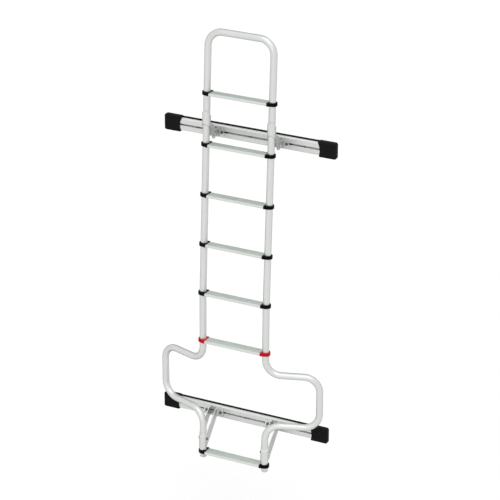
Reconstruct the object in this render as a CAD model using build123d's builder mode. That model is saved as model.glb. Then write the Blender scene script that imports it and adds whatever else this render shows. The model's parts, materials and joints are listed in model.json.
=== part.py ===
"""Van rear door ladder: bent tube stiles, clamped steps and two slotted crossbars.

Millimetres. +X runs along the crossbars, +Y points back to the van door and +Z points up.
The origin is the middle of the lower crossbar's rubber back, where it lies on the door.
"""
import math
import os

from build123d import *

os.makedirs("parts", exist_ok=True)

# Tube frame
tube_diameter = 30.0
tube_wall = 2.0
stile_spacing = 306.0  # between the axes of the two stiles
stand_off = 97.5  # lower crossbar's front to the stile's axis at the knee
knee_height = 610.8  # lower crossbar's slot to the slight bend of the stile
knee_radius = 300.0
upper_lean = 3.4  # degrees back from upright above the knee
lower_lean = 0.8  # degrees back from upright below the knee
hoop_height = 268.3  # first tread up to the hoop's top axis
hoop_radius = 66.0
loop_fall = 108.2  # last but one tread down to the loop's upper run
loop_height = 249.0
loop_reach = 228.0  # sideways from the stile
loop_setback = 73.0  # back towards the door
loop_radius = 70.0

# Steps, counted from the top
step_count = 7
upper_step_count = 5  # those above the knee
knee_step_rise = 25.9  # tread of the step just above the knee
step_pitch = 227.7
foot_drop = 196.8  # loop's lower run down to the last tread
step_depth = 48.0
step_height = 11.5
step_wall = 2.0
step_corner = 3.0
groove_count = 9
groove_pitch = 4.4
groove_width = 2.0
groove_depth = 0.8

# Clamps between steps and stiles
clamp_wall = 6.0  # round the outside of the tube
clamp_web = 3.0  # between the tube and the end of the step
clamp_height = 15.2
clamp_rise = 2.7  # above the tread
clamp_lip = 1.5  # stands out round the end of the step
clamp_round = 1.2
tongue_length = 22.0

# Crossbars
crossbar_length = 814.0  # over the end caps
upper_bar_lift = 18.0  # second tread up to the upper slot
door_setback = 46.0  # upper crossbar further back than the lower one
bar_height = 55.0
bar_depth = 15.5
bar_corner = 5.0
bar_wall = 2.5
slot_width = 9.0
slot_lip = 3.0
channel_width = 16.0
seal_thickness = 4.5
seal_lip = 7.0  # stands above the top of the bar
fixing_count = 3
fixing_spacing = 250.0
fixing_hole = 9.0

# End caps of the crossbars
cap_wall = 3.0  # over the front and the end of the bar
cap_brow = 3.0  # above the rubber
cap_chin = 7.5  # below the bar
cap_reach = 75.0  # end of the cap to the deepest point of its hollow mouth
cap_mouth_radius = 80.0
cap_mouth_drop = 6.0  # middle of the hollow below the slot
cap_corner = 9.0
cap_round = 6.0
horn_round = 6.0
cap_inset = 1.0  # the rubber stands proud of the back of the cap

# Lower straps, folded round the feet of the stiles
strap_thickness = 3.5
strap_gap = 18.1  # last clamp up to the strap
strap_height = 65.0
leg_round = 25.0
fold_radius = 3.0
cross_bolt_rise = 37.0  # above the strap's lower edge
cross_bolt_hole = 6.5
flange_height = 38.0
flange_reach = 48.0  # from the stile's axis
flange_bolt = 35.0  # from the stile's axis
flange_corner = 6.0
bolt_hole = 8.5

# Upper brackets, folded round the stiles above the upper crossbar
sleeve_height = 60.0
sleeve_rise = 82.0  # upper slot to the middle of the sleeve at the stile's axis
pivot_back = 36.0  # behind the stile's axis at the sleeve
pivot_rise = 10.5  # above the upper slot
pivot_diameter = 8.0
pivot_head = 18.0
pivot_head_height = 5.0
lobe_radius = 20.0
leg_rise = 16.0  # top of the legs above the sleeve's lower edge at the stile's axis
shoulder_round = 12.0
base_thickness = 4.0
base_height = 42.0
base_reach = 37.0
base_bolt = 27.5
ear_radius = 14.0

# Plugs in the lower ends of the stiles
foot_length = 22.7  # tube below the last tread
plug_height = 13.0
plug_round = 6.0
plug_spigot = 18.0

clearance = 0.15

# Worked out from the above
tube_radius = tube_diameter / 2
bore_radius = tube_radius + clearance
half_spacing = stile_spacing / 2
half_length = crossbar_length / 2
lower_front = -(bar_depth + seal_thickness)
upper_front = lower_front + door_setback
knee_y = lower_front - stand_off
clamp_face = tube_radius + clamp_web
strap_radius = bore_radius + strap_thickness
sides = {"left": -1, "right": 1}


def tread_rise(number):
    """Height of a step's tread along the stile, measured from the knee."""
    if number == step_count:
        return tread_rise(number - 1) - loop_fall - loop_height - foot_drop
    return knee_step_rise + (upper_step_count - number) * step_pitch


def lean_at(rise):
    """Lean of the stile at a height along it, in radians."""
    return math.radians(upper_lean if rise > 0 else lower_lean)


def axis_point(x, rise):
    """Point on the axis of a stile at a height along it from the knee."""
    lean = lean_at(rise)
    return Vector(x, knee_y + rise * math.sin(lean), knee_height + rise * math.cos(lean))


def across_stile(x, rise):
    """Plane square to a stile: local X along the steps, local Y back, local Z up the tube."""
    lean = lean_at(rise)
    return Plane(axis_point(x, rise), x_dir=(1, 0, 0), z_dir=(0, math.sin(lean), math.cos(lean)))


def along_step(x, rise):
    """Plane square to a step: local X back, local Y up the tube, normal along +X."""
    lean = lean_at(rise)
    return Plane(axis_point(x, rise), x_dir=(0, math.cos(lean), -math.sin(lean)), z_dir=(1, 0, 0))


def bar_section(x, front, height):
    """Plane square to a crossbar: local X back from its front, local Y up, normal along +X."""
    return Plane((x, front, height), x_dir=(0, 1, 0), z_dir=(1, 0, 0))


def on_bar_front(x, front, height):
    """Plane on the front of a crossbar: local X along it, local Y up, normal to the front."""
    return Plane((x, front, height), x_dir=(1, 0, 0), z_dir=(0, -1, 0))


def axis_y_at(height):
    """Depth of a stile's axis at a height above the lower slot."""
    lean = lean_at(height - knee_height)
    return knee_y + (height - knee_height) * math.tan(lean)


# Places that follow the steps
hoop_rise = tread_rise(1) + hoop_height
loop_rise = tread_rise(step_count - 1) - loop_fall
crossbar_rise = axis_point(0, tread_rise(2)).Z + upper_bar_lift
hoop_joint = (crossbar_rise + sleeve_rise - knee_height) / math.cos(math.radians(upper_lean))
strap_bottom = axis_point(0, tread_rise(step_count) + clamp_rise).Z + strap_gap
strap_top = strap_bottom + strap_height
cross_bolt = strap_bottom + cross_bolt_rise
crossbars = {"lower": (lower_front, 0.0), "upper": (upper_front, crossbar_rise)}

# Top hoop: an inverted U whose ends stand on the stiles inside the sleeves
hoop_corners = [
    axis_point(-half_spacing, hoop_joint),
    axis_point(-half_spacing, hoop_rise),
    axis_point(half_spacing, hoop_rise),
    axis_point(half_spacing, hoop_joint),
]
with BuildPart() as top_hoop:
    with BuildLine() as hoop_path:
        FilletPolyline(*hoop_corners, radius=hoop_radius)
    with BuildSketch(across_stile(-half_spacing, hoop_joint)):
        Circle(tube_radius)
        Circle(tube_radius - tube_wall, mode=Mode.SUBTRACT)
    sweep(path=hoop_path.line)
top_hoop.part.label = "top_hoop"
export_step(top_hoop.part, "parts/top_hoop.step")

# Stiles: straight tube with a slight knee, down to the joint inside the last but one clamp
foot_joint = tread_rise(step_count - 1) + clamp_rise - clamp_height / 2
for side, sign in sides.items():
    x = sign * half_spacing
    with BuildPart() as stile:
        with BuildLine() as stile_path:
            FilletPolyline(
                axis_point(x, hoop_joint), axis_point(x, 0), axis_point(x, foot_joint), radius=knee_radius
            )
        with BuildSketch(across_stile(x, hoop_joint)):
            Circle(tube_radius)
            Circle(tube_radius - tube_wall, mode=Mode.SUBTRACT)
        sweep(path=stile_path.line)
    stile.part.label = f"{side}_stile"
    export_step(stile.part, f"parts/{side}_stile.step")

# Foot loops: out and back round the hinge side of the door, then in again to the foot
foot_end = tread_rise(step_count) - foot_length
for side, sign in sides.items():
    x = sign * half_spacing
    loop_start = axis_point(x, loop_rise)
    loop_out = loop_start + Vector(sign * loop_reach, loop_setback, 0)
    loop_corners = [
        axis_point(x, foot_joint),
        loop_start,
        loop_out,
        loop_out - Vector(0, 0, loop_height),
        axis_point(x, loop_rise - loop_height),
        axis_point(x, foot_end),
    ]
    with BuildPart() as foot_loop:
        with BuildLine() as loop_path:
            FilletPolyline(*loop_corners, radius=loop_radius)
        with BuildSketch(across_stile(x, foot_joint)):
            Circle(tube_radius)
            Circle(tube_radius - tube_wall, mode=Mode.SUBTRACT)
        sweep(path=loop_path.line)
        with BuildSketch(Plane.YZ.offset(x)):
            with Locations((axis_y_at(cross_bolt), cross_bolt)):
                Circle(cross_bolt_hole / 2)
        extrude(amount=strap_radius, both=True, mode=Mode.SUBTRACT)
    foot_loop.part.label = f"{side}_foot_loop"
    export_step(foot_loop.part, f"parts/{side}_foot_loop.step")

# Foot plugs: a spigot in the tube's end and a domed head below it
for side, sign in sides.items():
    plug_plane = across_stile(sign * half_spacing, foot_end)
    with BuildPart() as plug:
        with BuildSketch(plug_plane):
            Circle(tube_radius)
        extrude(amount=-plug_height)
        fillet(plug.faces().sort_by(Axis.Z)[0].edges(), plug_round)
        with BuildSketch(plug_plane):
            Circle(tube_radius - tube_wall - clearance)
        extrude(amount=plug_spigot)
    plug.part.label = f"{side}_foot_plug"
    export_step(plug.part, f"parts/{side}_foot_plug.step")

# Steps: hollow extrusions with a grooved tread
step_length = stile_spacing - 2 * clamp_face
for number in range(1, step_count + 1):
    step_plane = along_step(-step_length / 2, tread_rise(number))
    with BuildPart() as step:
        with BuildSketch(step_plane):
            with Locations((0, -step_height / 2)):
                RectangleRounded(step_depth, step_height, step_corner)
                RectangleRounded(
                    step_depth - 2 * step_wall,
                    step_height - 2 * step_wall,
                    step_corner - step_wall,
                    mode=Mode.SUBTRACT,
                )
            with GridLocations(groove_pitch, 0, groove_count, 1):
                Rectangle(groove_width, 2 * groove_depth, mode=Mode.SUBTRACT)
        extrude(amount=step_length)
    step.part.label = f"step_{number}"
    export_step(step.part, f"parts/step_{number}.step")

# Step clamps: a moulded ring on the tube with a tongue that fills the end of the step
clamp_radius = bore_radius + clamp_wall
mouth_half = step_depth / 2 + clamp_lip
flare = math.atan2(mouth_half, -clamp_face) - math.acos(clamp_radius / math.hypot(clamp_face, mouth_half))
flare_x = clamp_radius * math.cos(flare)
flare_y = clamp_radius * math.sin(flare)
tongue_inset = 2 * (step_wall + clearance)
for number in range(1, step_count + 1):
    for side, sign in sides.items():
        x = sign * half_spacing
        rise = tread_rise(number)
        with BuildPart() as clamp:
            with BuildSketch(across_stile(x, rise + clamp_rise)) as ring:
                with BuildLine():
                    Polyline(
                        (sign * flare_x, flare_y),
                        (-sign * clamp_face, mouth_half),
                        (-sign * clamp_face, -mouth_half),
                        (sign * flare_x, -flare_y),
                    )
                    ThreePointArc((sign * flare_x, -flare_y), (sign * clamp_radius, 0), (sign * flare_x, flare_y))
                make_face()
                fillet(ring.vertices().group_by(Axis.X)[0 if sign > 0 else -1], clamp_lip)
            extrude(amount=-clamp_height)
            rims = clamp.faces().sort_by(Axis.Z)
            fillet(rims[0].edges() + rims[-1].edges(), clamp_round)
            with BuildSketch(across_stile(x, rise)):
                Circle(bore_radius)
            extrude(amount=clamp_height, both=True, mode=Mode.SUBTRACT)
            with BuildSketch(along_step(x - sign * clamp_face, rise)):
                with Locations((0, -step_height / 2)):
                    RectangleRounded(
                        step_depth - tongue_inset, step_height - tongue_inset, step_corner - step_wall
                    )
            extrude(amount=-sign * tongue_length)
        clamp.part.label = f"{side}_clamp_{number}"
        export_step(clamp.part, f"parts/{side}_clamp_{number}.step")

# Crossbars: an extrusion with a slot along the front and fixing holes in its back wall
bar_length = crossbar_length - 2 * cap_wall
chamber_height = (bar_height - channel_width) / 2 - 2 * bar_wall
chamber_centre = (channel_width + chamber_height) / 2 + bar_wall
for name, (front, height) in crossbars.items():
    with BuildPart() as bar:
        with BuildSketch(bar_section(-bar_length / 2, front, height)) as profile:
            Rectangle(bar_depth, bar_height, align=(Align.MIN, Align.CENTER))
            fillet(profile.vertices().group_by(Axis.X)[0], bar_corner)
            Rectangle(slot_lip, slot_width, align=(Align.MIN, Align.CENTER), mode=Mode.SUBTRACT)
            with Locations((slot_lip, 0)):
                Rectangle(
                    bar_depth - slot_lip - bar_wall,
                    channel_width,
                    align=(Align.MIN, Align.CENTER),
                    mode=Mode.SUBTRACT,
                )
            with Locations((bar_depth / 2, chamber_centre), (bar_depth / 2, -chamber_centre)):
                RectangleRounded(
                    bar_depth - 2 * bar_wall,
                    chamber_height,
                    min(bar_corner - bar_wall, 0.4 * chamber_height),
                    mode=Mode.SUBTRACT,
                )
        extrude(amount=bar_length)
        with BuildSketch(on_bar_front(0, front + bar_depth, height)):
            with GridLocations(fixing_spacing, 0, fixing_count, 1):
                Circle(fixing_hole / 2)
        extrude(amount=2 * bar_wall, mode=Mode.SUBTRACT)
    bar.part.label = f"{name}_crossbar"
    export_step(bar.part, f"parts/{name}_crossbar.step")

# Rubber seals: a strip on the back of each crossbar with a lip above it
for name, (front, height) in crossbars.items():
    with BuildPart() as seal:
        with BuildSketch(bar_section(-bar_length / 2, front + bar_depth, height - bar_height / 2)):
            Rectangle(seal_thickness, bar_height + seal_lip, align=Align.MIN)
        extrude(amount=bar_length)
        with BuildSketch(on_bar_front(0, front + bar_depth, height)):
            with GridLocations(fixing_spacing, 0, fixing_count, 1):
                Circle(fixing_hole / 2)
        extrude(amount=-seal_thickness, mode=Mode.SUBTRACT)
    seal.part.label = f"{name}_seal"
    export_step(seal.part, f"parts/{name}_seal.step")

# End caps: a moulded box open at the back, with a hollow mouth where the crossbar enters
cap_depth = cap_wall + bar_depth + seal_thickness - cap_inset
cavity_height = bar_height + seal_lip + 2 * clearance
cap_height = cap_chin + cavity_height + cap_brow
cap_length = cap_reach + cap_mouth_radius
for name, (front, height) in crossbars.items():
    cap_base = height - bar_height / 2 - clearance
    for side, sign in sides.items():
        end = sign * half_length
        with BuildPart() as cap:
            with BuildSketch(bar_section(end, front - cap_wall, cap_base - cap_chin)):
                Rectangle(cap_depth, cap_height, align=Align.MIN)
            extrude(amount=-sign * cap_length)
            end_face = cap.faces().sort_by(Axis.X)[-1 if sign > 0 else 0]
            fillet(end_face.edges().filter_by(Axis.Y), cap_corner)
            front_face = cap.faces().sort_by(Axis.Y)[0]
            front_edges = front_face.edges().sort_by(Axis.X)
            fillet(front_edges[1:] if sign > 0 else front_edges[:-1], cap_round)
            mouth_height = height - cap_mouth_drop
            with BuildSketch(on_bar_front(end - sign * cap_length, front, mouth_height)) as mouth:
                with Locations((0, cap_base - cap_chin - mouth_height)):
                    Rectangle(cap_length, cap_height, align=(Align.MIN if sign > 0 else Align.MAX, Align.MIN))
                Circle(cap_mouth_radius, mode=Mode.SUBTRACT)
                horns = mouth.vertices().sort_by(Axis.X)
                fillet(horns[:2] if sign > 0 else horns[-2:], horn_round)
            extrude(amount=2 * cap_depth, both=True, mode=Mode.INTERSECT)
            with BuildSketch(bar_section(end - sign * cap_wall, front - clearance, cap_base)) as cavity:
                Rectangle(cap_depth, cavity_height, align=Align.MIN)
                fillet(cavity.vertices().group_by(Axis.X)[0], bar_corner)
            extrude(amount=-sign * cap_length, mode=Mode.SUBTRACT)
        cap.part.label = f"{name}_{side}_cap"
        export_step(cap.part, f"parts/{name}_{side}_cap.step")

# Lower straps: round the foot of the stile, back to flanges bolted in the lower slot
strap_axis = axis_y_at(strap_bottom)
strap_reach = 2 * (lower_front - strap_axis)
strap_front = strap_axis - 2 * strap_radius
fold_face = lower_front - strap_thickness
leg_top = fold_face - fold_radius - (flange_height / 2 - strap_top) / 6
for side, sign in sides.items():
    x = sign * half_spacing
    strap_plane = across_stile(x, strap_bottom - knee_height)
    with BuildPart() as strap:
        with BuildSketch(strap_plane):
            Circle(strap_radius)
            Rectangle(2 * strap_radius, strap_reach, align=(Align.CENTER, Align.MIN))
            Circle(bore_radius, mode=Mode.SUBTRACT)
            Rectangle(2 * bore_radius, strap_reach, align=(Align.CENTER, Align.MIN), mode=Mode.SUBTRACT)
        extrude(amount=2 * (flange_height - strap_bottom), both=True)
        with BuildSketch(Plane.YZ.offset(x)) as leg_outline:
            with BuildLine():
                Polyline(
                    (strap_front, strap_bottom),
                    (strap_axis, strap_bottom),
                    (fold_face - fold_radius, -flange_height / 2),
                    (lower_front, -flange_height / 2),
                    (lower_front, flange_height / 2),
                    (leg_top, flange_height / 2),
                    (strap_axis, strap_top),
                    (strap_front, strap_top),
                    close=True,
                )
            make_face()
            fillet(leg_outline.vertices().filter_by_position(Axis.X, strap_axis - 1, strap_axis + 1), leg_round)
            with Locations((axis_y_at(cross_bolt), cross_bolt)):
                Circle(cross_bolt_hole / 2, mode=Mode.SUBTRACT)
        extrude(amount=2 * strap_radius, both=True, mode=Mode.INTERSECT)
        with BuildSketch(on_bar_front(x, lower_front, 0)) as flange:
            with Locations((bore_radius, 0)):
                Rectangle(flange_reach - bore_radius, flange_height, align=(Align.MIN, Align.CENTER))
            with Locations((-bore_radius, 0)):
                Rectangle(flange_reach - bore_radius, flange_height, align=(Align.MAX, Align.CENTER))
            outer_corners = flange.vertices().group_by(Axis.X)
            fillet(outer_corners[0] + outer_corners[-1], flange_corner)
            with Locations((flange_bolt, 0), (-flange_bolt, 0)):
                Circle(bolt_hole / 2, mode=Mode.SUBTRACT)
        extrude(amount=strap_thickness)
        folds = strap.edges().filter_by(Axis.Z).filter_by_position(Axis.X, x - strap_radius - 0.1, x + strap_radius + 0.1)
        fillet(folds.filter_by_position(Axis.Y, fold_face - 0.1, fold_face + 0.1), fold_radius)
    strap.part.label = f"{side}_lower_strap"
    export_step(strap.part, f"parts/{side}_lower_strap.step")

# Upper sleeves: a slanted ring round the stile, with legs back to the pivot
sleeve_middle = crossbar_rise + sleeve_rise
sleeve_axis = axis_y_at(sleeve_middle)
pivot_y = sleeve_axis + pivot_back
pivot_z = crossbar_rise + pivot_rise
slant = 1.5 * strap_radius
sleeve_top = sleeve_middle + sleeve_height / 2
sleeve_bottom = sleeve_middle - sleeve_height / 2
shoulder_y = pivot_y - lobe_radius / 2
shoulder_z = sleeve_bottom + leg_rise / 2
for side, sign in sides.items():
    x = sign * half_spacing
    with BuildPart() as sleeve:
        with BuildSketch(across_stile(x, hoop_joint)):
            Circle(strap_radius)
            Circle(bore_radius, mode=Mode.SUBTRACT)
        extrude(amount=2 * sleeve_rise, both=True)
        with BuildSketch(Plane.YZ.offset(x)):
            with BuildLine():
                Polyline(
                    (sleeve_axis - slant, sleeve_bottom + slant),
                    (sleeve_axis + slant, sleeve_bottom - slant),
                    (sleeve_axis + slant, sleeve_top - slant),
                    (sleeve_axis - slant, sleeve_top + slant),
                    close=True,
                )
            make_face()
        extrude(amount=2 * strap_radius, both=True, mode=Mode.INTERSECT)
        with BuildSketch(Plane.YZ.offset(x - strap_radius), Plane.YZ.offset(x + bore_radius)) as leg:
            with BuildLine():
                Polyline(
                    (sleeve_axis, sleeve_bottom),
                    (pivot_y - lobe_radius, pivot_z),
                    (pivot_y + lobe_radius, pivot_z),
                    (shoulder_y, shoulder_z),
                    (sleeve_axis, sleeve_bottom + leg_rise),
                    close=True,
                )
            make_face()
            fillet(leg.vertices().filter_by_position(Axis.Y, shoulder_z - 0.1, shoulder_z + 0.1), shoulder_round)
            with Locations((pivot_y, pivot_z)):
                Circle(lobe_radius)
                Circle(pivot_diameter / 2 + clearance, mode=Mode.SUBTRACT)
        extrude(amount=strap_thickness)
    sleeve.part.label = f"{side}_upper_sleeve"
    export_step(sleeve.part, f"parts/{side}_upper_sleeve.step")

# Upper bases: a plate bolted in the upper slot with two ears inside the sleeve's legs
ear_face = tube_radius - clearance
for side, sign in sides.items():
    x = sign * half_spacing
    with BuildPart() as base:
        with BuildSketch(Plane.YZ.offset(x)):
            with BuildLine():
                Polyline(
                    (upper_front, crossbar_rise - base_height / 2),
                    (upper_front, crossbar_rise + base_height / 2),
                    (pivot_y, pivot_z + ear_radius),
                    (pivot_y, pivot_z - ear_radius),
                    close=True,
                )
            make_face()
            with Locations((pivot_y, pivot_z)):
                Circle(ear_radius)
                Circle(pivot_diameter / 2 + clearance, mode=Mode.SUBTRACT)
        extrude(amount=ear_face, both=True)
        with BuildSketch(Plane.YZ.offset(x)):
            with Locations((upper_front - base_thickness, crossbar_rise)):
                Rectangle(2 * pivot_back + stand_off, 4 * base_height, align=(Align.MAX, Align.CENTER))
        extrude(amount=ear_face - base_thickness, both=True, mode=Mode.SUBTRACT)
        with BuildSketch(on_bar_front(x, upper_front, crossbar_rise)) as plate:
            RectangleRounded(2 * base_reach, base_height, flange_corner)
            with Locations((base_bolt, 0), (-base_bolt, 0)):
                Circle(bolt_hole / 2, mode=Mode.SUBTRACT)
        extrude(amount=base_thickness)
    base.part.label = f"{side}_upper_base"
    export_step(base.part, f"parts/{side}_upper_base.step")

# Pivot bolts: through the sleeve's legs and the base's ears
for side, sign in sides.items():
    x = sign * half_spacing
    with BuildPart() as pivot:
        with BuildSketch(Plane.YZ.offset(x - strap_radius)):
            with Locations((pivot_y, pivot_z)):
                Circle(pivot_diameter / 2)
        extrude(amount=2 * strap_radius)
        with BuildSketch(Plane.YZ.offset(x - strap_radius - pivot_head_height), Plane.YZ.offset(x + strap_radius)):
            with Locations((pivot_y, pivot_z)):
                RegularPolygon(pivot_head / 2, 6)
        extrude(amount=pivot_head_height)
    pivot.part.label = f"{side}_pivot_bolt"
    export_step(pivot.part, f"parts/{side}_pivot_bolt.step")
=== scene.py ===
"""Van rear door ladder: finishes, fasteners, floor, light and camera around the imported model."""
import json
import math

import bmesh
import bpy
from mathutils import Matrix, Vector


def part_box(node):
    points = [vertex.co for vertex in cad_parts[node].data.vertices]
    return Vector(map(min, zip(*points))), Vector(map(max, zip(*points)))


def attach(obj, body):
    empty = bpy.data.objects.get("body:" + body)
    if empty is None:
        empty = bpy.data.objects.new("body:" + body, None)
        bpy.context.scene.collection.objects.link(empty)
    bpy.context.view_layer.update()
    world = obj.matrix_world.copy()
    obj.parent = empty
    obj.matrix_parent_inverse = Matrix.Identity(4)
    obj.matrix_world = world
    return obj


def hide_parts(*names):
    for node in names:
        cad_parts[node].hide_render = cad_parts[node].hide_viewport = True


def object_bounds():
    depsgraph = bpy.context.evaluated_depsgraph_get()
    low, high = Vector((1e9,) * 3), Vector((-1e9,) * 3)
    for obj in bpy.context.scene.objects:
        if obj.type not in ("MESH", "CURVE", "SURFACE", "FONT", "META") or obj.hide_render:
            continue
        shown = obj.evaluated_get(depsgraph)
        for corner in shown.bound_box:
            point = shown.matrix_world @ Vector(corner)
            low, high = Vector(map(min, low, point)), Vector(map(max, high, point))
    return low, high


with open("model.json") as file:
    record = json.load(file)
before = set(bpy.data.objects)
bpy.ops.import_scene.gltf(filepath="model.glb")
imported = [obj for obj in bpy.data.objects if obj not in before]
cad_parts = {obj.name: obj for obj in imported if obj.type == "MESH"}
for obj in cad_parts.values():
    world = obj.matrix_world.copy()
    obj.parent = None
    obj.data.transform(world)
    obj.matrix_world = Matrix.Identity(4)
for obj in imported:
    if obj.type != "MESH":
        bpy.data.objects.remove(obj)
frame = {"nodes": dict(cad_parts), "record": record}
cad_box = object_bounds()
nodes = frame["nodes"]
scene = bpy.context.scene
MM = 0.001
SIDES = (("left", -1), ("right", 1))


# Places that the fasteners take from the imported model, in millimetres
def corners(node):
    """Lowest and highest corner of a CAD node."""
    low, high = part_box(node)
    return low / MM, high / MM


def middle(node):
    low, high = corners(node)
    return (low + high) / 2


BARS = {bar: (corners(f"{bar}_crossbar")[0].y, middle(f"{bar}_crossbar").z) for bar in ("lower", "upper")}
SEAL_BACK = corners("lower_seal")[1].y - BARS["lower"][0]
STILE_X = middle("right_upper_sleeve").x
PLATE_REACH = corners("right_upper_sleeve")[1].x - STILE_X
PIVOT = middle("right_pivot_bolt").yz

# Places that the boxes of the CAD nodes don't give, in millimetres, with the cross bolt's y and z
FLANGE_THICKNESS = 3.5
FLANGE_BOLT = 35.0
BASE_THICKNESS = 4.0
BASE_BOLT = 27.5
SLOT_LIP = 3.0
WALL_DEPTH = 13.0
FIXING_X = (-250.0, 0.0, 250.0)
CROSS_BOLT = (-127.25, -87.13)


# Shader helpers
def new_material(name):
    mat = bpy.data.materials.new(name)
    mat.use_nodes = True
    tree = mat.node_tree
    tree.nodes.clear()
    out = tree.nodes.new("ShaderNodeOutputMaterial")
    bsdf = tree.nodes.new("ShaderNodeBsdfPrincipled")
    tree.links.new(bsdf.outputs["BSDF"], out.inputs["Surface"])
    return mat, tree, bsdf


def place_vector(tree, stretch=(1.0, 1.0, 1.0)):
    """Position on the object in metres, stretched for streaks."""
    coord = tree.nodes.new("ShaderNodeTexCoord")
    mapping = tree.nodes.new("ShaderNodeMapping")
    mapping.inputs["Scale"].default_value = stretch
    tree.links.new(coord.outputs["Object"], mapping.inputs["Vector"])
    return mapping.outputs["Vector"]


def noise(tree, vector, scale, detail, roughness=0.55):
    node = tree.nodes.new("ShaderNodeTexNoise")
    node.inputs["Scale"].default_value = scale
    node.inputs["Detail"].default_value = detail
    node.inputs["Roughness"].default_value = roughness
    tree.links.new(vector, node.inputs["Vector"])
    return node.outputs["Fac"]


NOISE_RANGE = (0.3, 0.7)


def between(tree, factor, low, high, factor_range=NOISE_RANGE):
    """A value that goes from low to high while factor goes through its range."""
    node = tree.nodes.new("ShaderNodeMapRange")
    node.inputs["From Min"].default_value = factor_range[0]
    node.inputs["From Max"].default_value = factor_range[1]
    node.inputs["To Min"].default_value = low
    node.inputs["To Max"].default_value = high
    tree.links.new(factor, node.inputs["Value"])
    return node.outputs["Result"]


def blend_colours(tree, factor, first, second):
    """A colour between two colours, each a tuple or another node's output."""
    node = tree.nodes.new("ShaderNodeMix")
    node.data_type = "RGBA"
    for socket, colour in (("A", first), ("B", second)):
        if isinstance(colour, tuple):
            node.inputs[socket].default_value = (*colour, 1.0)
        else:
            tree.links.new(colour, node.inputs[socket])
    tree.links.new(factor, node.inputs["Factor"])
    return node.outputs["Result"]


def cloudy(tree, factor, colour, spread):
    """A colour that varies by a share of itself to each side."""
    darker = tuple(c * (1 - spread) for c in colour)
    paler = tuple(min(1.0, c * (1 + spread)) for c in colour)
    return blend_colours(tree, factor, darker, paler)


def facing_up(tree, upward_range):
    """Zero to one while the upward part of the surface's direction goes through its range."""
    geometry = tree.nodes.new("ShaderNodeNewGeometry")
    parts = tree.nodes.new("ShaderNodeSeparateXYZ")
    tree.links.new(geometry.outputs["True Normal"], parts.inputs["Vector"])
    return between(tree, parts.outputs["Z"], 0.0, 1.0, upward_range)


def front_to_back(tree):
    """Zero at a node's front and one at its back."""
    coord = tree.nodes.new("ShaderNodeTexCoord")
    parts = tree.nodes.new("ShaderNodeSeparateXYZ")
    tree.links.new(coord.outputs["Generated"], parts.inputs["Vector"])
    return parts.outputs["Y"]


BEVEL_SAMPLES = 4


def bump(tree, bsdf, heights, edge_radius):
    """Bump from several height fields over edges rounded by edge_radius."""
    bevel = tree.nodes.new("ShaderNodeBevel")
    bevel.samples = BEVEL_SAMPLES
    bevel.inputs["Radius"].default_value = edge_radius
    normal = bevel.outputs["Normal"]
    for height, strength, distance in heights:
        node = tree.nodes.new("ShaderNodeBump")
        node.inputs["Strength"].default_value = strength
        node.inputs["Distance"].default_value = distance
        tree.links.new(height, node.inputs["Height"])
        tree.links.new(normal, node.inputs["Normal"])
        normal = node.outputs["Normal"]
    tree.links.new(normal, bsdf.inputs["Normal"])


# Satin metal: noise scales are per metre, bumps are a strength and a depth in metres
METAL_SPECULAR = 0.05
METAL_CLOUD = 9.0
METAL_GRAIN = 1400.0
GRAIN_BUMP = (0.05, 0.0002)
DIE_LINE_BUMP = (0.10, 0.0003)
METAL_TONE_SPREAD = 0.035
TOP_TONE_SPREAD = 0.05
METAL_ROUGHNESS_SPREAD = 0.05
MOSTLY_UP = (0.45, 0.85)


def metal(name, colour, metallic, roughness, streak=None, edge=0.4, top=None, top_range=MOSTLY_UP):
    """Cloudy tone, fine grain, and die lines along extrusions where streak gives their stretch.

    top gives the front colour, back colour and metallic share of faces that look up,
    which carry painted highlight and painted shade. edge is the rounding of edges in millimetres.
    """
    mat, tree, bsdf = new_material(name)
    bsdf.inputs["Specular IOR Level"].default_value = METAL_SPECULAR
    bsdf.inputs["Specular Tint"].default_value = (METAL_SPECULAR, METAL_SPECULAR, METAL_SPECULAR, 1.0)
    plain = place_vector(tree)
    cloud = noise(tree, plain, METAL_CLOUD, detail=2.0)
    heights = [(noise(tree, plain, METAL_GRAIN, detail=2.0), *GRAIN_BUMP)]
    tone = cloud
    if streak:
        tone = noise(tree, place_vector(tree, streak), 1.0, detail=4.0, roughness=0.6)
        heights.append((tone, *DIE_LINE_BUMP))
    bsdf.inputs["Metallic"].default_value = metallic
    paint = cloudy(tree, tone, colour, METAL_TONE_SPREAD)
    # Upward faces take painted highlight or painted shade in place of the metal's own colour, blended front
    # to back
    if top:
        front, back, top_metallic = top
        upward = facing_up(tree, top_range)
        ends = [cloudy(tree, tone, end, TOP_TONE_SPREAD) for end in (front, back)]
        paint = blend_colours(tree, upward, paint, blend_colours(tree, front_to_back(tree), *ends))
        if top_metallic != metallic:
            share = between(tree, upward, metallic, top_metallic, (0.0, 1.0))
            tree.links.new(share, bsdf.inputs["Metallic"])
    tree.links.new(paint, bsdf.inputs["Base Color"])
    rough = between(tree, cloud, roughness - METAL_ROUGHNESS_SPREAD, roughness + METAL_ROUGHNESS_SPREAD)
    tree.links.new(rough, bsdf.inputs["Roughness"])
    bump(tree, bsdf, heights, edge * MM)
    return mat


# Moulded plastic and rubber, in the same units
PLASTIC_CLOUD = 40.0
PLASTIC_PITS = 2600.0
PIT_DEPTH = 0.0002
PLASTIC_TONE_SPREAD = 0.14
PLASTIC_ROUGHNESS_SPREAD = 0.06


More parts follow.
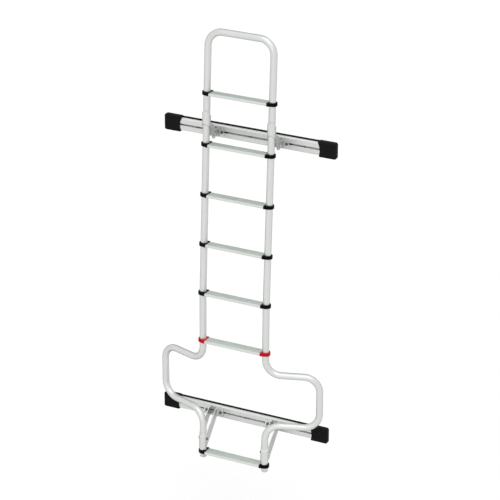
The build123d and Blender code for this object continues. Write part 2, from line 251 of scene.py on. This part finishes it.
def plastic(name, colour, roughness, specular, grain, edge):
    """Spark-eroded grain and faint flow marks, with edges rounded by edge in millimetres."""
    mat, tree, bsdf = new_material(name)
    plain = place_vector(tree)
    pits = noise(tree, plain, PLASTIC_PITS, detail=2.0, roughness=0.6)
    cloud = noise(tree, plain, PLASTIC_CLOUD, detail=3.0)
    tree.links.new(cloudy(tree, cloud, colour, PLASTIC_TONE_SPREAD), bsdf.inputs["Base Color"])
    rough = between(tree, cloud, roughness - PLASTIC_ROUGHNESS_SPREAD, roughness + PLASTIC_ROUGHNESS_SPREAD)
    tree.links.new(rough, bsdf.inputs["Roughness"])
    bsdf.inputs["Specular IOR Level"].default_value = specular
    bump(tree, bsdf, [(pits, grain, PIT_DEPTH)], edge * MM)
    return mat


# Looks of the material slots
BARE_PLATE = (0.70, 0.71, 0.695)
# Darker greenish colour for tube tops: painted shade and painted reflection of the overhead light
TUBE_TOP_PAINTED_SHADE = (0.54, 0.59, 0.555)
# Near-white, barely metallic colour for tops of bars and straps: painted highlight
TOP_PAINTED_HIGHLIGHT = (0.86, 0.88, 0.855)
# Tread tops: painted shade, lighter at the nose and darker towards the back, with a greenish painted
# reflection
TREAD_FRONT = (0.71, 0.79, 0.74)
TREAD_BACK = (0.61, 0.685, 0.635)
looks = {
    # Tube faces that look straight up take the painted shade colour
    "frame_tube": metal("satin_tube", (0.70, 0.715, 0.695), metallic=0.85, roughness=0.42,
                        top=(TUBE_TOP_PAINTED_SHADE, TUBE_TOP_PAINTED_SHADE, 0.85), top_range=(0.86, 1.0)),
    # Tread tops take the painted shade, blended from nose to back
    "step": metal("grooved_tread", (0.72, 0.74, 0.715), metallic=0.70, roughness=0.40,
                  streak=(3.0, 900.0, 900.0), edge=0.3, top=(TREAD_FRONT, TREAD_BACK, 0.70)),
    # Bar tops take the painted highlight colour
    "crossbar": metal("extruded_bar", BARE_PLATE, metallic=0.80, roughness=0.42,
                      streak=(2.0, 700.0, 700.0), top=(TOP_PAINTED_HIGHLIGHT, TOP_PAINTED_HIGHLIGHT, 0.10)),
    "bracket": metal("folded_plate", BARE_PLATE, metallic=0.85, roughness=0.40, edge=0.6),
    "bolt": metal("zinc_bolt", (0.58, 0.59, 0.585), metallic=1.0, roughness=0.34, edge=0.3),
    "black_clamp": plastic("black_clamp", (0.0045, 0.0046, 0.0045), roughness=0.45, specular=0.03,
                           grain=0.12, edge=0.6),
    "red_clamp": plastic("red_clamp", (0.60, 0.008, 0.022), roughness=0.42, specular=0.06,
                         grain=0.12, edge=0.6),
    "end_cap": plastic("grained_cap", (0.0125, 0.0125, 0.0128), roughness=0.60, specular=0.03,
                       grain=0.25, edge=0.8),
    "foot_plug": plastic("pale_plug", (0.74, 0.75, 0.735), roughness=0.45, specular=0.40,
                         grain=0.10, edge=0.5),
    "seal": plastic("matt_rubber", (0.010, 0.0105, 0.0105), roughness=0.70, specular=0.12,
                    grain=0.20, edge=0.6),
}
black_bolt = metal("blackened_bolt", (0.16, 0.165, 0.175), metallic=0.60, roughness=0.34, edge=0.3)
dull_bolt = metal("dull_bolt", (0.30, 0.305, 0.31), metallic=0.80, roughness=0.42, edge=0.3)
# Black nuts, wider than the plates, so that the slot shows black beside each plate
black_nut = metal("black_slot_nut", (0.03, 0.031, 0.033), metallic=0.50, roughness=0.45, edge=0.3)
bright_nut = metal("bright_nut", (0.80, 0.81, 0.80), metallic=0.85, roughness=0.34, edge=0.3)
# The strap's upward cut edges take the painted highlight colour
bent_strap = metal("bent_strap", BARE_PLATE, metallic=0.85, roughness=0.40, edge=0.6,
                   top=(TOP_PAINTED_HIGHLIGHT, TOP_PAINTED_HIGHLIGHT, 0.10))
for row in frame["record"]["subparts"]:
    mesh = nodes[row["node"]].data
    mesh.materials.clear()
    mesh.materials.append(looks[row["material_slot"]])


# Mesh helpers, with sizes in millimetres
def seat(x, y, z, outward):
    """Frame with its origin at a seat and its local Z pointing outward, level with the ground."""
    axis = Vector(outward).normalized()
    across = axis.cross(Vector((0, 0, 1))).normalized()
    turn = Matrix((across, axis.cross(across), axis)).transposed().to_4x4()
    return Matrix.Translation(Vector((x, y, z)) * MM) @ turn


def skin(bm, rings):
    """Faces between rings of equal length, with both ends closed."""
    loops = [[bm.verts.new(Vector(p) * MM) for p in ring] for ring in rings]
    count = len(loops[0])
    for low, high in zip(loops, loops[1:]):
        for i in range(count):
            j = (i + 1) % count
            bm.faces.new((low[i], low[j], high[j], high[i]))
    bm.faces.new(list(reversed(loops[0])))
    bm.faces.new(loops[-1])


RING_POINTS = 48
RIM = 0.3


def circle(radius, height, reach=None):
    """One ring about local Z; reach gives the radius by angle where it isn't round."""
    ring = []
    for i in range(RING_POINTS):
        angle = 2 * math.pi * i / RING_POINTS
        r = min(radius, reach(angle)) if reach else radius
        ring.append((r * math.cos(angle), r * math.sin(angle), height))
    return ring


def hexagon(across_flats):
    """Radius of a hexagon by angle."""
    def reach(angle):
        return across_flats / 2 / math.cos((angle % (math.pi / 3)) - math.pi / 6)
    return reach


def turned(bm, profile):
    """Solid of revolution from (radius, height) pairs."""
    skin(bm, [circle(r, h) for r, h in profile])


def washer(bm, base, outer, thickness):
    top = base + thickness
    turned(bm, [(outer - RIM, base), (outer, base + RIM), (outer, top - RIM), (outer - RIM, top)])


CORNER_STEPS = 5
CORNER_SLOPE = math.radians(30)
CORNER_END = 0.475
UNDERSIDE = 0.49
UNDERSIDE_RIM = 0.25
HOLE_TAPER = 0.9
HOLE_DEPTH = 0.8


def hex_block(bm, base, across_flats, height, hole=None):
    """Hexagon with its top corners turned off at a slope; shares are of the width across its flats."""
    reach = hexagon(across_flats)
    top = base + height
    rings = [circle(across_flats * UNDERSIDE, base, reach), circle(across_flats, base + UNDERSIDE_RIM, reach)]
    corner = across_flats / math.sqrt(3)
    cut = corner - across_flats * CORNER_END
    for step in range(CORNER_STEPS + 1):
        t = step / CORNER_STEPS
        rings.append(circle(corner - t * cut, top - cut * math.tan(CORNER_SLOPE) * (1 - t), reach))
    if hole:
        rings += [circle(hole, top), circle(hole * HOLE_TAPER, top - HOLE_DEPTH)]
    skin(bm, rings)


DOME_STEPS = 5
DOME_ANGLE = math.radians(62)
CAP_ROUND = ((0.0, 0.7), (0.2, 0.25), (0.7, 0.0))
SOCKET_MOUTH = 0.60
SOCKET_BEVEL = 0.4
SOCKET_DEPTH = 0.55
SOCKET_TIP_DEPTH = 0.68
SOCKET_TIP = 0.1


def socket_head(bm, base, diameter, height, across_flats, domed=False):
    """Cap or button head with a hexagon socket, whose depths are shares of the head's height."""
    r = diameter / 2
    top = base + height
    rings = [circle(r - RIM, base), circle(r, base + RIM)]
    if domed:
        for step in range(1, DOME_STEPS + 1):
            angle = step / DOME_STEPS * DOME_ANGLE
            rise = (height - RIM) * math.sin(angle) / math.sin(DOME_ANGLE)
            rings.append(circle(r * math.cos(angle), base + RIM + rise))
    else:
        rings += [circle(r - inward, top - down) for inward, down in CAP_ROUND]
    reach = hexagon(across_flats)
    rings += [
        circle(across_flats * SOCKET_MOUTH, top),
        circle(across_flats, top - SOCKET_BEVEL, reach),
        circle(across_flats, top - SOCKET_DEPTH * height, reach),
        circle(across_flats * SOCKET_TIP, top - SOCKET_TIP_DEPTH * height),
    ]
    skin(bm, rings)


THREAD_END = 0.8
THREAD_ROOT = 0.87
ROOT_PLACE = 0.1
CREST_PLACE = 0.5


def threaded(bm, radius, start, end, pitch):
    """Shank with ridges, from start to end along local Z; shares are of its radius and pitch."""
    rings = [circle(radius * THREAD_END, start)]
    count = int(abs(end - start) / pitch)
    way = (end - start) / count
    for i in range(count):
        rings.append(circle(radius * THREAD_ROOT, start + way * (i + ROOT_PLACE)))
        rings.append(circle(radius, start + way * (i + CREST_PLACE)))
    rings.append(circle(radius * THREAD_END, end))
    skin(bm, rings)


def block(bm, base, width, depth, height, bevel):
    """Rectangular nut with bevelled rims."""
    def outline(inset, z):
        w, d, c = width / 2 - inset, depth / 2 - inset, bevel
        return [(w - c, -d, z), (w, -d + c, z), (w, d - c, z), (w - c, d, z),
                (-w + c, d, z), (-w, d - c, z), (-w, -d + c, z), (-w + c, -d, z)]
    top = base + height
    skin(bm, [outline(bevel, base), outline(0, base + bevel), outline(0, top - bevel), outline(bevel, top)])


SHARP_ANGLE = math.radians(32)


def piece(name, bm, place, slot, look=None):
    """Object from a finished mesh, which rides on the ladder."""
    bmesh.ops.recalc_face_normals(bm, faces=bm.faces)
    mesh = bpy.data.meshes.new(name)
    bm.to_mesh(mesh)
    bm.free()
    mesh.transform(place)
    mesh.shade_smooth()
    mesh.set_sharp_from_angle(angle=SHARP_ANGLE)
    mesh.materials.append(look or looks[slot])
    obj = bpy.data.objects.new(name, mesh)
    scene.collection.objects.link(obj)
    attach(obj, "root")
    return obj


# Bolts that hold the brackets in the slots
M8_THREAD = {"radius": 3.9, "pitch": 1.25}
M6_THREAD = {"radius": 2.9, "pitch": 1.0}
SLOT_WASHER = {"outer": 8.0, "thickness": 1.6}
SLOT_HEAD = {"diameter": 11.6, "height": 5.0, "across_flats": 6.0}
SLOT_NUT = {"width": 37.0, "depth": 15.0, "height": 6.0, "bevel": 0.6}
SLOT_NUT_GAP = 0.1
SLOT_BOLT_END = 9.5


def slot_bolt(name, x, bar, plate):
    """Washer and shank, head, and nut behind the slot's lips, on a plate of a given thickness."""
    front, z = BARS[bar]
    place = seat(x, front - plate, z, (0, -1, 0))
    lip_back = -plate - SLOT_LIP
    bm = bmesh.new()
    washer(bm, 0.0, **SLOT_WASHER)
    threaded(bm, start=0.0, end=lip_back - SLOT_BOLT_END, **M8_THREAD)
    piece(name, bm, place, "bolt")
    bm = bmesh.new()
    socket_head(bm, SLOT_WASHER["thickness"], **SLOT_HEAD)
    piece(f"{name}_head", bm, place, "bolt", black_bolt)
    bm = bmesh.new()
    block(bm, lip_back - SLOT_NUT_GAP - SLOT_NUT["height"], **SLOT_NUT)
    piece(f"{name}_nut", bm, place, "bolt", black_nut)


for side, sign in SIDES:
    for number, shift in enumerate((-1, 1), 1):
        strap_x = sign * STILE_X + shift * FLANGE_BOLT
        base_x = sign * STILE_X + shift * BASE_BOLT
        slot_bolt(f"{side}_strap_bolt_{number}", strap_x, "lower", FLANGE_THICKNESS)
        slot_bolt(f"{side}_base_bolt_{number}", base_x, "upper", BASE_THICKNESS)

# Door bolts on the back wall of each slot
DOOR_WASHER = {"outer": 7.6, "thickness": 1.6}
DOOR_HEAD = {"diameter": 12.6, "height": 6.5, "across_flats": 6.0}
DOOR_BOLT_SHY = 0.2
for bar, (front, z) in BARS.items():
    for number, x in enumerate(FIXING_X, 1):
        bm = bmesh.new()
        washer(bm, 0.0, **DOOR_WASHER)
        socket_head(bm, DOOR_WASHER["thickness"], **DOOR_HEAD)
        threaded(bm, start=0.0, end=WALL_DEPTH - SEAL_BACK + DOOR_BOLT_SHY, **M8_THREAD)
        place = seat(x, front + WALL_DEPTH, z, (0, -1, 0))
        piece(f"{bar}_door_bolt_{number}", bm, place, "bolt", dull_bolt)

# Cross bolts through the straps and the feet of the stiles
CROSS_WASHER = {"outer": 6.2, "thickness": 1.2}
CROSS_HEAD = {"diameter": 11.0, "height": 3.4, "across_flats": 4.0}
CROSS_NUT = {"across_flats": 10.0, "height": 5.0, "hole": 3.1}
CROSS_THREAD = (0.6, 8.0)
CROSS_SHANK = 2.9
SHANK_PAST_PLATE = 0.5


def shank(bm, radius):
    """Plain shank that ends inside the washers on both sides of a sleeve or strap."""
    end = PLATE_REACH + SHANK_PAST_PLATE
    turned(bm, [(radius, end), (radius, -end)])


for side, sign in SIDES:
    bm = bmesh.new()
    washer(bm, PLATE_REACH, **CROSS_WASHER)
    socket_head(bm, PLATE_REACH + CROSS_WASHER["thickness"], **CROSS_HEAD, domed=True)
    shank(bm, CROSS_SHANK)
    piece(f"{side}_cross_bolt", bm, seat(sign * STILE_X, *CROSS_BOLT, (-sign, 0, 0)), "bolt", black_bolt)
    bm = bmesh.new()
    washer(bm, PLATE_REACH, **CROSS_WASHER)
    hex_block(bm, PLATE_REACH + CROSS_WASHER["thickness"], **CROSS_NUT)
    start, end = (PLATE_REACH + height for height in CROSS_THREAD)
    threaded(bm, start=start, end=end, **M6_THREAD)
    piece(f"{side}_cross_nut", bm, seat(sign * STILE_X, *CROSS_BOLT, (sign, 0, 0)), "bolt", bright_nut)

# Lower straps, with the band round the foot slanting down to the front in line with the legs
BAND_SLANT = 0.82
WELD = 0.001
for side, _ in SIDES:
    bm = bmesh.new()
    bm.from_mesh(nodes[f"{side}_lower_strap"].data)
    bmesh.ops.remove_doubles(bm, verts=bm.verts, dist=WELD * MM)
    for vert in bm.verts:
        vert.co.z += BAND_SLANT * min(0.0, vert.co.y - CROSS_BOLT[0] * MM)
    strap = piece(f"{side}_strap", bm, Matrix.Identity(4), "bracket", bent_strap)
    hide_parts(f"{side}_lower_strap")

# Pivot bolts of the upper brackets
PIVOT_WASHER = {"outer": 9.6, "thickness": 1.4}
PIVOT_HEX = {"across_flats": 13.0, "height": 5.0}
PIVOT_HOLE = 4.6
PIVOT_SHANK = 4.0
PIVOT_COLLAR = ((5.4, 6.2), (5.4, 7.2), (4.6, 8.0), (4.2, 8.0))
PIVOT_THREAD = (1.0, 9.0)
for side, sign in SIDES:
    seat_height = PLATE_REACH + PIVOT_WASHER["thickness"]
    bm = bmesh.new()
    washer(bm, PLATE_REACH, **PIVOT_WASHER)
    hex_block(bm, seat_height, **PIVOT_HEX)
    shank(bm, PIVOT_SHANK)
    washer(bm, -seat_height, **PIVOT_WASHER)
    bolt = piece(f"{side}_pivot", bm, seat(sign * STILE_X, *PIVOT, (-sign, 0, 0)), "bolt")
    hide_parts(f"{side}_pivot_bolt")
    bm = bmesh.new()
    hex_block(bm, seat_height, **PIVOT_HEX, hole=PIVOT_HOLE)
    turned(bm, [(radius, PLATE_REACH + height) for radius, height in PIVOT_COLLAR])
    start, end = (PLATE_REACH + height for height in PIVOT_THREAD)
    threaded(bm, start=start, end=end, **M8_THREAD)
    piece(f"{side}_pivot_nut", bm, seat(sign * STILE_X, *PIVOT, (sign, 0, 0)), "bolt")


# Floor
def seen_directly(tree):
    """One for rays from the camera, mirrors and glass, and zero for light that falls on the object."""
    path = tree.nodes.new("ShaderNodeLightPath")
    seen = path.outputs["Is Camera Ray"]
    for ray in ("Is Glossy Ray", "Is Transmission Ray"):
        either = tree.nodes.new("ShaderNodeMath")
        either.operation = "MAXIMUM"
        tree.links.new(seen, either.inputs[0])
        tree.links.new(path.outputs[ray], either.inputs[1])
        seen = either.outputs[0]
    return seen


FLOOR_HALF = 80.0
FLOOR_CELLS = 4
FLOOR_BELOW = 0.35
FLOOR_TONE = 0.5
FLOOR_LIFT = 0.54
bm = bmesh.new()
bmesh.ops.create_grid(bm, x_segments=FLOOR_CELLS, y_segments=FLOOR_CELLS, size=FLOOR_HALF)
floor_mesh = bpy.data.meshes.new("floor")
bm.to_mesh(floor_mesh)
bm.free()
floor = bpy.data.objects.new("floor", floor_mesh)
floor.location.z = cad_box[0].z - FLOOR_BELOW
scene.collection.objects.link(floor)
floor_look = bpy.data.materials.new("pale_floor")
floor_look.use_nodes = True
tree = floor_look.node_tree
tree.nodes.clear()
out = tree.nodes.new("ShaderNodeOutputMaterial")
both = tree.nodes.new("ShaderNodeAddShader")
matt = tree.nodes.new("ShaderNodeBsdfDiffuse")
matt.inputs["Color"].default_value = (FLOOR_TONE, FLOOR_TONE, FLOOR_TONE, 1.0)
glow = tree.nodes.new("ShaderNodeEmission")
lift = tree.nodes.new("ShaderNodeMath")
lift.operation = "MULTIPLY"
lift.inputs[1].default_value = FLOOR_LIFT
tree.links.new(seen_directly(tree), lift.inputs[0])
tree.links.new(lift.outputs[0], glow.inputs["Strength"])
tree.links.new(matt.outputs[0], both.inputs[0])
tree.links.new(glow.outputs[0], both.inputs[1])
tree.links.new(both.outputs[0], out.inputs["Surface"])
floor_mesh.materials.append(floor_look)

# Light
WORLD_LIGHT = 0.775
world = bpy.data.worlds.new("studio")
scene.world = world
world.use_nodes = True
tree = world.node_tree
tree.nodes.clear()
out = tree.nodes.new("ShaderNodeOutputWorld")
sky = tree.nodes.new("ShaderNodeBackground")
sky.inputs["Color"].default_value = (1.0, 1.0, 1.0, 1.0)
sky_strength = between(tree, seen_directly(tree), WORLD_LIGHT, 1.0, (0.0, 1.0))
tree.links.new(sky_strength, sky.inputs["Strength"])
tree.links.new(sky.outputs[0], out.inputs["Surface"])


def soft_sun(name, azimuth, elevation, strength, spread):
    """Broad soft light from a direction in degrees: azimuth 0 is in front and 90 to the right."""
    light = bpy.data.lights.new(name, "SUN")
    light.energy = strength
    light.angle = math.radians(spread)
    lamp = bpy.data.objects.new(name, light)
    a, e = math.radians(azimuth), math.radians(elevation)
    towards = Vector((math.sin(a) * math.cos(e), -math.cos(a) * math.cos(e), math.sin(e)))
    lamp.rotation_mode = "QUATERNION"
    lamp.rotation_quaternion = (-towards).to_track_quat("-Z", "Y")
    scene.collection.objects.link(lamp)


soft_sun("key_light", azimuth=36, elevation=62, strength=0.68, spread=45)
soft_sun("front_light", azimuth=6, elevation=8, strength=0.30, spread=45)

# Camera, fitted to the photograph
CAMERA_AT = (4.0038, -8.0969, 4.9213)
CAMERA_AZIMUTH = 26.21
CAMERA_ELEVATION = 24.434
FOCAL_PIXELS = 2285.25
IMAGE_PIXELS = 500.0
SENSOR = 36.0
CLIP_END = 200.0
lens = bpy.data.cameras.new("camera")
lens.sensor_width = SENSOR
lens.lens = FOCAL_PIXELS * SENSOR / IMAGE_PIXELS
lens.clip_end = CLIP_END
camera = bpy.data.objects.new("camera", lens)
camera.location = CAMERA_AT
camera.rotation_euler = (math.radians(90 - CAMERA_ELEVATION), 0.0, math.radians(CAMERA_AZIMUTH))
scene.collection.objects.link(camera)
scene.camera = camera
scene.view_settings.view_transform = "Standard"
